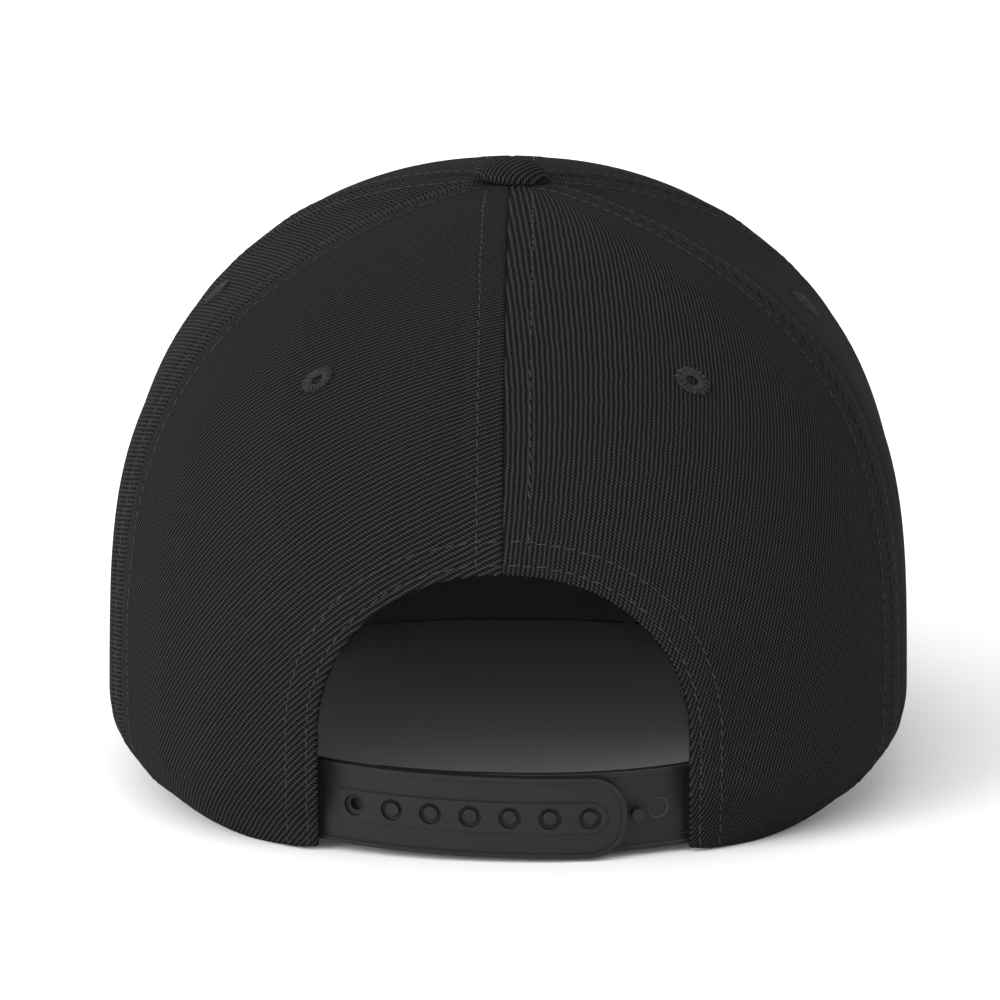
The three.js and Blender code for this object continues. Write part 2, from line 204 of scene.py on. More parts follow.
class Pattern:
    """One panel laid flat, between the seams number and number + 1."""

    def __init__(self, number):
        self.number = number
        middle = math.radians(sum(seam_angles[number] + seam_angles[number + 1]) / 4)
        reach = math.acos((apex_hole / belly_radius(middle)) ** (back_fullness / 2))
        self.top_share = share_of_dome(reach)
        self.shares = [self.top_share * i / pattern_steps for i in range(pattern_steps + 1)]
        self.heights = [0]
        for low, high in zip(self.shares, self.shares[1:]):
            step = (crown_point(middle, high) - crown_point(middle, low)).length
            self.heights.append(self.heights[-1] + step)
        self.widths = [self.width_of(share) for share in self.shares]
        self.top = self.heights[-1]

    def width_of(self, share, steps=12):
        low, high = seam_angle(self.number, share), seam_angle(self.number + 1, share)
        row = [crown_point(mix(low, high, i / steps), share) for i in range(steps + 1)]
        return sum((b - a).length for a, b in zip(row, row[1:]))

    def width(self, height):
        return read_off(self.heights, self.widths, height)

    def share(self, height):
        return read_off(self.heights, self.shares, height)

    def angle(self, x, height):
        share = self.share(height)
        low, high = seam_angle(self.number, share), seam_angle(self.number + 1, share)
        return mix(low, high, x / self.width(height))


patterns = [Pattern(number) for number in range(3)]

# Wool twill
# Wool and acrylic suiting woven in a steep twill and dyed black. It is matt with a faint
# fuzz. Fine ribs 1 mm apart, with short floats of yarn crossing between, have the light on
# their crests and the shade in their grooves painted into the colour.
rib_pitch = 1.04
float_pitch = 0.75
# The groove colour is painted shade and the ridge colour a painted highlight
twill_groove_shade = "#0e0e0e"
twill_ridge_highlight = "#3c3c3d"
twill_depth = 0.4
twill_fuzz = 0.002


def linear(code):
    """An sRGB hex colour as linear red, green, blue and alpha."""
    parts = [int(code[i : i + 2], 16) / 255 for i in (1, 3, 5)]
    return [p / 12.92 if p <= 0.04045 else ((p + 0.055) / 1.055) ** 2.4 for p in parts] + [1]


def add(tree, kind, settings=(), **links):
    """Adds a shader node, sets its properties or inputs and links what feeds it."""
    made = tree.nodes.new(kind)
    for name, value in dict(settings).items():
        if isinstance(name, int) or name in made.inputs:
            made.inputs[name].default_value = value
        else:
            setattr(made, name, value)
    for name, source in links.items():
        key = int(name[1:]) if name[1:].isdigit() else name.replace("_", " ")
        tree.links.new(source, made.inputs[key])
    return made


def new_material(name):
    """An empty node material with its shader and output joined."""
    material = bpy.data.materials.new(name)
    material.use_nodes = True
    tree = material.node_tree
    tree.nodes.clear()
    shader = add(tree, "ShaderNodeBsdfPrincipled")
    add(tree, "ShaderNodeOutputMaterial", Surface=shader.outputs["BSDF"])
    return material, tree, shader


def wave(tree, source, period):
    """A sine between 0 and 1 that repeats every period of the number it is given."""
    turn = add(tree, "ShaderNodeMath", {"operation": "MULTIPLY", 1: 2 * math.pi / period}, _0=source)
    sine = add(tree, "ShaderNodeMath", {"operation": "SINE"}, _0=turn.outputs[0])
    settings = {"operation": "MULTIPLY_ADD", 1: 0.5, 2: 0.5}
    return add(tree, "ShaderNodeMath", settings, _0=sine.outputs[0]).outputs[0]


def woven(name, pitch, length, groove, ridge, depth, fuzz):
    """Cloth whose UV map runs in millimetres: u across the ribs, v along them. The groove colour is
    painted shade and the ridge colour a painted highlight, mixed by the height of the weave.
    """
    material, tree, shader = new_material(name)
    place = add(tree, "ShaderNodeUVMap", {"uv_map": "weave"}).outputs["UV"]
    drift = add(tree, "ShaderNodeTexNoise", {"Scale": 0.2, "Detail": 2}, Vector=place)
    fine = add(tree, "ShaderNodeTexNoise", {"Scale": 2.4, "Detail": 3}, Vector=place)
    axes = add(tree, "ShaderNodeSeparateXYZ", Vector=place)
    settings = {"operation": "MULTIPLY_ADD", 1: 0.55}
    across = add(tree, "ShaderNodeMath", settings, _0=drift.outputs["Fac"], _2=axes.outputs["X"])
    settings = {"operation": "MULTIPLY_ADD", 1: 0.5}
    along = add(tree, "ShaderNodeMath", settings, _0=across.outputs[0], _2=axes.outputs["Y"])
    rib = wave(tree, across.outputs[0], pitch)
    crest = add(tree, "ShaderNodeMath", {"operation": "POWER", 1: 1.8}, _0=rib)
    floats = wave(tree, along.outputs[0], length)
    between = add(tree, "ShaderNodeMath", {"operation": "MULTIPLY", 1: 0.25}, _0=floats)
    strand = add(tree, "ShaderNodeMath", {"operation": "MULTIPLY_ADD", 1: 0.55, 2: 0.4}, _0=floats)
    ribbed = add(tree, "ShaderNodeMath", {"operation": "MULTIPLY_ADD"},
                 _0=crest.outputs[0], _1=strand.outputs[0], _2=between.outputs[0])
    height = add(tree, "ShaderNodeMath", {"operation": "MULTIPLY_ADD", 1: 0.35},
                 _0=fine.outputs["Fac"], _2=ribbed.outputs[0])
    # The height of the weave picks the colour: painted shade in the grooves, a painted highlight on
    # the crests
    ramp = add(tree, "ShaderNodeMapRange", {"From Min": 0.3, "From Max": 1.2},
               Value=height.outputs[0])
    colour = add(tree, "ShaderNodeMix", {"data_type": "RGBA"}, _0=ramp.outputs[0])
    colour.inputs[6].default_value = linear(groove)
    colour.inputs[7].default_value = linear(ridge)
    bump = add(tree, "ShaderNodeBump", {"Strength": 1, "Distance": depth * mm},
               Height=height.outputs[0])
    tree.links.new(colour.outputs[2], shader.inputs["Base Color"])
    tree.links.new(bump.outputs["Normal"], shader.inputs["Normal"])
    shader.inputs["Roughness"].default_value = 0.9
    shader.inputs["Specular IOR Level"].default_value = 0.02
    shader.inputs["Sheen Weight"].default_value = fuzz
    shader.inputs["Sheen Roughness"].default_value = 0.4
    return material


# Dark matt cloth whose ribs show as fine light lines, closer and fainter as it turns away;
# the lines are a painted highlight on the crests over painted shade in the grooves
wool_twill = woven("wool_twill_piece_dyed", rib_pitch, float_pitch, twill_groove_shade, twill_ridge_highlight,
                   twill_depth, twill_fuzz)

# The stiffener behind the front panels: flat dark grey with an open, even weave
buckram = woven("fused_buckram", 1.6, 1.6, "#3c3c3d", "#5a5a5b", 0.1, 0)

# Panels
# Six panels are joined by seams that are pressed open and stitched down on both sides.
# The two back ones are cut to an arch, and all lower edges are turned in as a rolled hem.
detail = 1
seam_slit = 0.05
seam_depths = (0.42, 0.3)
seam_softness = 0.45
stitch_from_seam = 5.6
allowance = 8
allowance_rise = 0.25
tape_edge = 11.5
tape_ridge = 0.3
tape_softness = 1.2
hem_roll = 1
hem_rows = (2.3, 7.3)
hem_width = 9
hem_rise = 0.25
fold_softness = 1
seam_fade = (5, 35)
seam_left_at_top = 0.35
pucker = 0.15
pucker_size = 9
pucker_reach = 4
opening_press = 0.7
opening_press_reach = 3
opening_tuck = 7
opening_tuck_reach = 24
opening_tuck_start = (0, 12)
opening_tuck_end = (18, 60)
stitch_dent = 0.15
stitch_dent_width = 0.55
arch_half_width = 41.6
arch_height = 68.2
arch_straight = 28
arch_roundness = 2.15
arch_side_part = 0.3
arch_steps = 60
arch_shares = [i / arch_steps for i in range(arch_steps + 1)]
unevenness = 0.4
unevenness_size = 38

# How the ribs run on each panel: their angle from the outward level where they are measured,
# and how they bend away from it outward, upward and across
twill_line = 0.25
twill_level = 88
twill_bow_reach = 35
twill_runs = {
    "back_left": {"angle": 147, "curl": 0.006, "bow": 0.0035, "fan": 0},
    "back_right": {"angle": 78, "curl": 0, "bow": 0.0018, "fan": 0.002},
    "side_left": {"angle": 165, "curl": 0, "bow": 0, "fan": 0},
    "side_right": {"angle": 60, "curl": 0, "bow": 0, "fan": 0},
    "front_left": {"angle": 120, "curl": 0, "bow": 0, "fan": 0},
    "front_right": {"angle": 60, "curl": 0, "bow": 0, "fan": 0},
}


def crowded(share, crowding=0.8):
    """Evenly spaced shares drawn closer together towards both ends."""
    return share - crowding * math.sin(2 * math.pi * share) / (2 * math.pi)


def angle_at_width(width, share):
    low, high = 0, math.pi / 2
    for _ in range(40):
        middle = (low + high) / 2
        if crown_point(middle, share).x < width:
            low = middle
        else:
            high = middle
    return low


def on_back_pattern(width, height):
    """The place on the flat back panel of a point this far from the middle and this high."""
    back = patterns[0]
    share = share_at_height(height)
    y = read_off(back.shares, back.heights, share)
    turn = angle_at_width(width, share) / seam_angle(1, share)
    return Vector((turn * back.width(y), y))


def arch_edge(share):
    """Along the edge of the opening, from the rim up its side and over to the middle."""
    if share < arch_side_part:
        return on_back_pattern(arch_half_width, arch_straight * share / arch_side_part)
    turn = math.pi / 2 * (1 - (share - arch_side_part) / (1 - arch_side_part))
    width = arch_half_width * max(0, math.sin(turn)) ** (2 / arch_roundness)
    climb = max(0, math.cos(turn)) ** (2 / arch_roundness)
    return on_back_pattern(width, mix(arch_straight, arch_height, climb))


arch_line = [arch_edge(share) for share in arch_shares]


def from_arch(place):
    """Distance on the flat back panel to the edge of the opening."""
    nearest = math.inf
    if place.y > 1.5 * arch_height:
        return nearest
    for a, b in zip(arch_line, arch_line[1:]):
        part = b - a
        share = min(1, max(0, (place - a).dot(part) / part.length_squared))
        nearest = min(nearest, (place - a - part * share).length)
    return nearest


def back_place(along, out):
    """On the flat back panel: along the arch from rim to middle, and out to the side seam."""
    back = patterns[0]
    corner, crest = arch_line[0], arch_line[-1]
    side = Vector((back.width(along * back.top), along * back.top))
    rim = Vector((mix(corner.x, back.width(0), out), 0))
    climb = out * (back.top - crest.y + back.width(back.top))
    seam = Vector((max(0, climb - back.top + crest.y), min(back.top, crest.y + climb)))
    far_rim, far_top = Vector((back.width(0), 0)), Vector((back.width(back.top), back.top))
    near, far = corner.lerp(crest, along), far_rim.lerp(far_top, along)
    edge = read_off(arch_shares, arch_line, along)
    return edge * (1 - out) + side * out + rim * (1 - along) + seam * along - near.lerp(far, out)


def plain_place(number):
    def place(across, up):
        pattern = patterns[number]
        height = up * pattern.top
        return Vector((across * pattern.width(height), height))

    return place


def bell(distance, width):
    return math.exp(-((distance / width) ** 2))


def relief(number, place, point):
    """How far the cloth stands out from the smooth crown, how far its edge is rolled, and
    how the sides of the opening are drawn in to the closure."""
    width = patterns[number].width(place.y)
    seam = max(0, min(place.x, width - place.x))
    edge = place.y
    tuck = 0
    if number == 0:
        gap_side = from_arch(place)
        edge = min(edge, gap_side)
    out = unevenness * noise.noise(point / unevenness_size)
    out += pucker * noise.noise(point / pucker_size) * bell(seam - stitch_from_seam, pucker_reach)
    out += allowance_rise * (1 - smooth(seam, stitch_from_seam + 0.6, allowance + 0.6))
    out += hem_rise * (1 - smooth(edge, hem_width - fold_softness, hem_width + fold_softness))
    full = smooth(patterns[number].top - place.y, *seam_fade)
    depth = seam_depths[number > 0 or place.x > width / 2] * mix(seam_left_at_top, 1, full)
    out -= depth * bell(seam, seam_softness)
    if number == 1:
        out += tape_ridge * bell(seam - tape_edge, tape_softness)
    out -= stitch_dent * bell(seam - stitch_from_seam, stitch_dent_width)
    if number == 0:
        if place.y > edge:
            out -= sum(stitch_dent * bell(edge - row, stitch_dent_width) for row in hem_rows)
        low = smooth(place.y, *opening_tuck_start) * (1 - smooth(place.y, *opening_tuck_end))
        out -= opening_press * bell(gap_side, opening_press_reach)
        tuck = opening_tuck * low * bell(gap_side, opening_tuck_reach)
    inside = max(0, 1 - max(0, edge) / hem_roll)
    roll = hem_roll * (1 - math.sqrt(max(0, 1 - inside**2)))
    return out, roll, Vector((0, -tuck, 0))


@functools.lru_cache(maxsize=None)
def sewn_up(number, x, y):
    """A point of the smooth crown with its normal, its relief and the roll of its edge."""
    pattern = patterns[number]
    share = pattern.share(min(y, pattern.top))
    angle = pattern.angle(x, y)
    point, normal = crown_point(angle, share), crown_normal(angle, share)
    out, roll, drawn = relief(number, Vector((x, y)), point)
    return point + drawn, normal, out, roll


def cloth_place(number, place, depth=0, lift=0):
    """A point of a panel, from its place on the pattern to the crown, at a share of its depth."""
    point, normal, out, roll = sewn_up(number, round(place.x, 5), round(place.y, 5))
    outer = out - roll + lift
    inner = roll - cloth_thickness
    return point + normal * mix(outer, inner, depth), normal


def sheet_block(columns, rows, place):
    """A flat grid pulled up into a closed block, whose points are then put in place."""
    block = bmesh.new()
    bmesh.ops.create_grid(block, x_segments=columns, y_segments=rows, size=0.5)
    pulled = bmesh.ops.extrude_face_region(block, geom=block.faces[:], use_keep_orig=True)
    for part in pulled["geom"]:
        if isinstance(part, bmesh.types.BMVert):
            part.co.z = 1
    bmesh.ops.recalc_face_normals(block, faces=block.faces)
    weave = block.loops.layers.uv.new("weave")
    inner = {face for face in block.faces if max(vert.co.z for vert in face.verts) < 0.5}
    flat = {}
    for vert in block.verts:
        point, flat[vert] = place(vert.co.x + 0.5, vert.co.y + 0.5, 1 - vert.co.z)
        vert.co = settle(point)
    for face in block.faces:
        face.smooth = True
        face.material_index = int(face in inner)
        for loop in face.loops:
            loop[weave].uv = flat[loop.vert]
    return block


def finish_piece(block, name, materials, slot, *nodes):
    """Turns a bmesh into a piece of the cap that stands for its CAD nodes."""
    mesh = bpy.data.meshes.new(name)
    block.to_mesh(mesh)
    block.free()
    for material in materials:
        mesh.materials.append(material)
    made = bpy.data.objects.new(name, mesh)
    scene.collection.objects.link(made)
    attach(made, "root")
    if nodes:
        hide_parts(*nodes)
    return made


def twill_at(run, x, height, width):
    """Across and along the ribs, in mm, at a place on the flat panel."""
    x -= twill_line * width
    turn = math.radians(run["angle"])
    rise = height - twill_level
    lift = min(rise, twill_bow_reach)
    across = x * math.sin(turn) - height * math.cos(turn)
    across += run["curl"] * x * x / 2 + run["bow"] * lift * (rise - lift / 2)
    across -= run["fan"] * x * rise
    return Vector((across, x * math.cos(turn) + height * math.sin(turn)))


def panel_block(number, side, run):
    """One panel with its seam edges, rolled hem and cloth thickness."""
    pattern = patterns[number]
    lay = back_place if number == 0 else plain_place(number)

    def place(column, row, depth):
        spot = lay(crowded(column), crowded(row))
        width = pattern.width(spot.y)
        spot.x = min(max(spot.x, seam_slit), width - seam_slit)
        point = cloth_place(number, spot, depth)[0]
        point.x *= side
        return point, twill_at(run, spot.x, spot.y, width)

    columns, rows = (100, 90) if number == 0 else (80, 110)
    return sheet_block(int(columns * detail), int(rows * detail), place)


for number, part in enumerate(("back", "side", "front")):
    for side, hand in ((1, "left"), (-1, "right")):
        block = panel_block(number, side, twill_runs[f"{part}_{hand}"])
        bmesh.ops.recalc_face_normals(block, faces=block.faces)
        cloths = [wool_twill, buckram if part == "front" else wool_twill]
        finish_piece(block, f"{part}_panel_{hand}", cloths, "wool_twill", f"panel_{part}_{hand}")

# Topstitching
# Black spun polyester thread in a 3 mm lockstitch. The rows lie pressed into the cloth
# beside every seam and twice round the opening, a little brighter than the wool.
stitch_pitch = 3
stitch_length = 2.5
stitch_width = 0.32
stitch_slant = math.radians(7)
stitch_lift = 0.06
first_stitch = 1.5
draw = random.Random(11)


def spun_thread(name, code):
    """Twisted thread: a soft broken gleam on each stitch, a little lighter than the cloth."""
    material, tree, shader = new_material(name)
    place = add(tree, "ShaderNodeTexCoord").outputs["Object"]
    twist = add(tree, "ShaderNodeTexNoise", {"Scale": 4000, "Detail": 2}, Vector=place)
    bump = add(tree, "ShaderNodeBump", {"Strength": 0.5, "Distance": 0.1 * mm},
               Height=twist.outputs["Fac"])
    tree.links.new(bump.outputs["Normal"], shader.inputs["Normal"])
    shader.inputs["Base Color"].default_value = linear(code)
    shader.inputs["Roughness"].default_value = 0.7
    shader.inputs["Specular IOR Level"].default_value = 0.3
    return material


thread = spun_thread("spun_polyester_thread", "#2a2a2b")


def sew(block, line):
    """Lays stitches along a line of (point, normal) pairs, in mm."""
    lengths = [0]
    for (a, _), (b, _) in zip(line, line[1:]):
        lengths.append(lengths[-1] + (b - a).length)
    count = int(lengths[-1] / stitch_pitch)
    row = bmesh.new()
    for i in range(count):
        middle = (i + draw.uniform(0.42, 0.58)) * lengths[-1] / count
        after = min(max(bisect.bisect_left(lengths, middle), 1), len(lengths) - 1)
        share = (middle - lengths[after - 1]) / (lengths[after] - lengths[after - 1])
        point = line[after - 1][0].lerp(line[after][0], share)
        up = line[after][1]
        run = (line[after][0] - line[after - 1][0]).normalized()
        aside = up.cross(run).normalized()
        run = (run + aside * math.tan(stitch_slant)).normalized()
        aside = up.cross(run).normalized()
        turn = Matrix((aside, up, run)).transposed().to_4x4()
        reach = stitch_length / 2 * draw.uniform(0.85, 1.05)
        size = Matrix.Diagonal((stitch_width / 2, stitch_width / 2, reach, 1))
        point = point + aside * draw.uniform(-0.12, 0.12)
        place = Matrix.Translation(point) @ turn @ size
        bmesh.ops.create_uvsphere(row, u_segments=6, v_segments=5, radius=1, matrix=place)
    take_in(block, row)


def take_in(block, part):
    """Moves one bmesh into another."""
    carrier = bpy.data.meshes.new("carrier")
    part.to_mesh(carrier)
    part.free()
    block.from_mesh(carrier)
    bpy.data.meshes.remove(carrier)


def settle_block(block):
    for vert in block.verts:
        vert.co = settle(vert.co)
    for face in block.faces:
        face.smooth = True


def mirrored(line):
    return [(Vector((-p.x, p.y, p.z)), Vector((-n.x, n.y, n.z))) for p, n in line]


def seam_row(number, from_low, start=first_stitch):
    """A row of stitches up a panel beside one of its seams."""
    pattern = patterns[number]
    line = []
    for i in range(121):
        height = mix(start, pattern.top, i / 120)
        width = pattern.width(height)
        if width < 2.4 * stitch_from_seam:
            break
        x = stitch_from_seam if from_low else width - stitch_from_seam
        line.append(cloth_place(number, Vector((x, height)), 0, stitch_lift))
    return line


def arch_row(offset):
    """A row of stitches round one half of the opening, from the rim to the middle."""
    line = []
    for a, b in zip(arch_line, arch_line[1:]):
        run = (b - a).normalized()
        spot = (a + b) / 2 + Vector((run.y, -run.x)) * offset
        if spot.x > 0:
            line.append(cloth_place(0, spot, 0, stitch_lift))
    return line


for side, hand in ((1, "left"), (-1, "right")):
    rows = [seam_row(0, True, arch_line[-1].y + 1), seam_row(0, False)]
    rows += [seam_row(1, True), seam_row(1, False), seam_row(2, True), seam_row(2, False)]
    rows += [arch_row(offset) for offset in hem_rows]
    block = bmesh.new()
    for line in rows:
        sew(block, line if side > 0 else mirrored(line))
    settle_block(block)
    finish_piece(block, f"topstitching_{hand}", [thread], "sewing_thread")

# Eyelets
# A small hole in the middle of each panel, worked over with close radial stitches of the
# same black thread, so that it looks like a soft ring with a dark centre.
eyelet_radius = 3.5
eyelet_hole = 1.25
eyelet_swell = 0.7
eyelet_rise = 0.745

# For the left and right eyelet of each pair: the share of the panel's width where it sits,
# how far it is pulled out of round, its turn, and how far it is tipped to the back
eyelet_pairs = {
    "back": ((0.47, (1.15, 0.85), 25, 0), (0.47, (1.2, 1.05), -10, 0)),
    "side": ((0.57, (1.1, 1), 0, 0), (0.44, (1.15, 1), 0, 0.1)),
    "front": ((0.5, (1.1, 1), 0, 0), (0.5, (1.1, 1), 0, 0)),
}
eyelet_strands = 34
strand_width = 0.34

# The strands are lit like the stitches, and the ring under them is painted near black as the
# shade between them
eyelet_thread = spun_thread("eyelet_thread", "#212122")
eyelet_shade = spun_thread("thread_in_shade", "#0c0c0c")


def eyelet_block(place, normal, stretch, turned):
    block = bmesh.new()
    half = (eyelet_radius - eyelet_hole) / 2
    centre = eyelet_hole + half
    base = bmesh.ops.create_circle(block, segments=10, radius=1)
    turn = Matrix.Rotation(math.pi / 2, 4, "X")
    size = Matrix.Diagonal((half * 0.9, 1, eyelet_swell * 0.7, 1))
    ring = Matrix.Translation((centre, 0, 0)) @ size @ turn
    bmesh.ops.transform(block, matrix=ring, verts=base["verts"])
    bmesh.ops.spin(block, geom=block.edges[:], cent=(0, 0, 0), axis=(0, 0, 1),
                   angle=2 * math.pi, steps=28, use_merge=True)
    bmesh.ops.recalc_face_normals(block, faces=block.faces)
    # The ring takes the painted shade of the thread
    for face in block.faces:
        face.material_index = 1
    for i in range(eyelet_strands):
        strand = bmesh.new()
        end = bmesh.ops.create_circle(strand, segments=5, radius=strand_width / 2, cap_ends=True)
        reach = half * draw.uniform(0.85, 1.15)
        shift = Matrix.Translation((reach, 0, 0))
        bmesh.ops.transform(strand, matrix=shift, verts=end["verts"])
        bmesh.ops.spin(strand, geom=strand.faces[:], cent=(0, 0, 0), axis=(0, -1, 0),
                       angle=math.pi, steps=8)
        bmesh.ops.recalc_face_normals(strand, faces=strand.faces)
        swell = Matrix.Diagonal((1, 1, eyelet_swell / reach * draw.uniform(0.85, 1.1), 1))
        lean = draw.uniform(-0.12, 0.12)
        around = Matrix.Rotation(2 * math.pi * (i + lean * 2) / eyelet_strands, 4, "Z")
        away = Matrix.Translation((centre, 0, 0)) @ Matrix.Rotation(lean, 4, "Z")
        strand.transform(around @ away @ swell)
        take_in(block, strand)
    oval = Matrix.Rotation(math.radians(turned), 4, "Z") @ Matrix.Diagonal((*stretch, 1, 1))
    upright = Vector((0, 0, 1)).rotation_difference(normal).to_matrix().to_4x4()
    block.transform(Matrix.Translation(place) @ upright @ oval)
    return block


for number, part in enumerate(("back", "side", "front")):
    pattern = patterns[number]
    rise_share = share_of_dome(math.asin(eyelet_rise ** (shoulder_fullness / 2)))
    height = read_off(pattern.shares, pattern.heights, rise_share)
    for side, hand, spot in zip((1, -1), ("left", "right"), eyelet_pairs[part]):
        across, stretch, turned, tip = spot
        point, normal = cloth_place(number, Vector((pattern.width(height) * across, height)))
        normal = (normal + Vector((0, tip, 0))).normalized()
        flip = Matrix.Diagonal((side, 1, 1))
        block = eyelet_block(flip @ point, flip @ normal, stretch, turned)
        settle_block(block)
        finish_piece(block, f"sewn_eyelet_{part}_{hand}", [eyelet_thread, eyelet_shade],
                     "sewing_thread", f"eyelet_{part}_{hand}")

# Button
# A tin button shell covered with the same twill, drawn tight over its edge and riveted
# through the top of the crown where the six seams meet.
button_radius = 8.6
button_height = 5
button_edge = 0.9
button_gap = 0.3
button_stretch = 0.85
button_twill_turn = math.radians(32)
button_lean = math.radians(5)
button_swell = 1.05
button_place = Vector((-0.2, -apex_forward, crown_height - 0.5))
block = bmesh.new()
profile = [Vector((0, 0, button_gap + button_height))]
for i in range(1, 17):
    turn = math.pi / 2 * (1 - i / 16)
    radius = button_radius * math.cos(turn) ** 0.92
    drop = button_edge + (button_height - button_edge) * math.sin(turn)
    profile.append(Vector((radius, 0, button_gap + drop)))
for radius, height in ((0.985, 0.35), (0.9, 0.1), (0.6, 0), (0.43, -0.2)):
    profile.append(Vector((button_radius * radius, 0, button_gap + button_edge * height)))
corners = [block.verts.new(point) for point in profile]
for a, b in zip(corners, corners[1:]):
    block.edges.new((a, b))
bmesh.ops.spin(block, geom=block.verts[:] + block.edges[:], cent=(0, 0, 0), axis=(0, 0, 1),
               angle=2 * math.pi, steps=72, use_merge=True)
bmesh.ops.remove_doubles(block, verts=block.verts, dist=0.001)
bmesh.ops.holes_fill(block, edges=[edge for edge in block.edges if edge.is_boundary])
bmesh.ops.recalc_face_normals(block, faces=block.faces)
weave = block.loops.layers.uv.new("weave")
for face in block.faces:
    for loop in face.loops:
        spot = Matrix.Rotation(button_twill_turn, 2) @ loop.vert.co.xy
        share = max(0.01, spot.length / button_radius)
        on_top = loop.vert.co.z > button_gap + button_edge / 2
        wrap = share + 0.25 * share**3 if on_top else 2.4 - share
        loop[weave].uv = spot * wrap / share * button_stretch
lean = Matrix.Rotation(-button_lean, 4, "Y") @ Matrix.Scale(button_swell, 4)
block.transform(Matrix.Translation(button_place) @ lean)
settle_block(block)
finish_piece(block, "covered_button", [wool_twill], "wool_twill", "button")

# Sweatband
# A strip of black cotton twill folded double, sewn along the rim and turned up inside the
# crown. Its ends stop at the opening, behind the tabs of the closure.
band_height = 30
band_thickness = 1.5
band_raise = 1
band_ease = 12
band_from_arch = 3.5
band_fold = 0.8
band_row = 3
strap_tab = 12
outer_thickness = 2
gap = 0.3
arch_corner = angle_at_width(arch_half_width, 0)
band_start = angle_at_width(arch_half_width + band_from_arch, 0)

# Smooth fine black cotton, painted an even lighter grey for the light that reaches it inside
# the crown, so that it shows dark grey there
band_cotton = woven("band_cotton_twill", 0.8, 0.55, "#5a5a5b", "#666667", 0.06, 0)


def rim_inset(angle):
    inner = crown_point(angle, 0) - crown_normal(angle, 0) * cloth_thickness
    return rim_radius(angle) - inner.xy.length + gap


def band_place(column, row, depth):
    angle = mix(2 * math.pi - band_start, band_start, column)
    turn = abs(math.atan2(math.sin(angle), math.cos(angle)))
    along = turn * rim_radius(turn)
    tab_end = arch_corner * rim_radius(arch_corner) + strap_tab
    tuck = (outer_thickness + gap) * (1 - smooth(along, tab_end + 2, tab_end + 2 + band_ease))
    edge = min(row, 1 - row) * band_height
    roll = 0.5 * band_thickness * (1 - math.sqrt(1 - max(0, 1 - edge / band_fold) ** 2))
    row_dent = 0.2 * bell(edge - band_row, 0.6)
    inner = mix(roll + row_dent * (depth < 0.5), band_thickness - roll, depth)
    radius = rim_radius(angle) - rim_inset(angle) - tuck - inner
    y = radius * math.cos(angle)
    height = rim_height(y) + band_raise + band_height * row
    point = Vector((radius * math.sin(angle), y, height))
    return point, Vector((along + height, height - along)) * math.sqrt(0.5)


block = sheet_block(int(240 * detail), int(24 * detail),
                    lambda column, row, depth: band_place(column, crowded(row), depth))
finish_piece(block, "turned_sweatband", [band_cotton], "band_cotton", "sweatband")

# Peak
# A stiff board between two layers of the twill, sewn through in rows that follow its edge
# and set under the front of the rim. It is nearly flat, with a slight fall at its sides.
peak_length = 70
peak_half_width = 91
peak_temple_angle = math.radians(52)
peak_fall = 3
peak_camber = 5
peak_top_thickness = 2.4
peak_under_thickness = 1
peak_edge_lip = 1.5
peak_row_spacing = 6.5
peak_row_count = 8
peak_row_dent = 0.16
peak_steps = 200
peak_outline = (
    (0.935, 0.13), (0.99, 0.3), (1, 0.45), (0.95, 0.64), (0.8, 0.81), (0.5, 0.95), (0, 1)
)
peak_thickness = peak_under_thickness + gap + peak_top_thickness


def peak_root(angle):
    low = rim_height(rim_radius(angle) * math.cos(angle))
    share = belly_share * peak_thickness / (belly_height - low)
    radius = crown_radius(angle, share) + gap
    return Vector((radius * math.sin(angle), radius * math.cos(angle), low))


def curve_through(points, steps):
    """Evenly spaced points on a smooth curve through a few."""
    before = points[0] * 2 - points[1]
    after = points[-1] * 2 - points[-2]
    chain = [before, *points, after]
    fine = []
    for a, b, c, d in zip(chain, chain[1:], chain[2:], chain[3:]):
        near, far = (c - b).length ** 0.5, (b - a).length ** 0.5
        last = (d - c).length ** 0.5
        out = ((b - a) / far - (c - a) / (far + near) + (c - b) / near) * near
        into = ((c - b) / near - (d - b) / (near + last) + (d - c) / last) * near
        for i in range(40):
            t = i / 40
            cube = b * 2 - c * 2 + out + into
            square = c * 3 - b * 3 - out * 2 - into
            fine.append(cube * t**3 + square * t**2 + out * t + b)
    fine.append(points[-1])
    lengths = [0]
    for a, b in zip(fine, fine[1:]):
        lengths.append(lengths[-1] + (b - a).length)
    return [read_off(lengths, fine, lengths[-1] * i / steps) for i in range(steps + 1)]


temple = peak_root(math.pi - peak_temple_angle)
peak_tip = -rim_front_reach - peak_length
peak_points = [Vector((temple.x + peak_edge_lip, temple.y))]
for across, along in peak_outline:
    peak_points.append(Vector((across * peak_half_width, mix(temple.y, peak_tip, along))))
peak_edge = curve_through(peak_points, peak_steps)
peak_shares = [i / peak_steps for i in range(peak_steps + 1)]


def peak_point(side, out, height):
    """On the peak: side runs from 1 at the left temple to -1, out from the rim to the edge."""
    root = peak_root(math.pi - side * peak_temple_angle)
    tip = read_off(peak_shares, peak_edge, 1 - abs(side))
    tip = Vector((math.copysign(tip.x, side), tip.y, root.z))
    point = root.lerp(tip, out)
    reach = (point - root).length / peak_length
    curve = peak_camber * (point.x / peak_half_width) ** 2 * smooth(reach, 0, 0.5)
    point.z += height - peak_fall * reach - curve
    return point, (tip - root).length * (1 - out)


def row_inset(number):
    return peak_row_spacing * (number + 0.6)


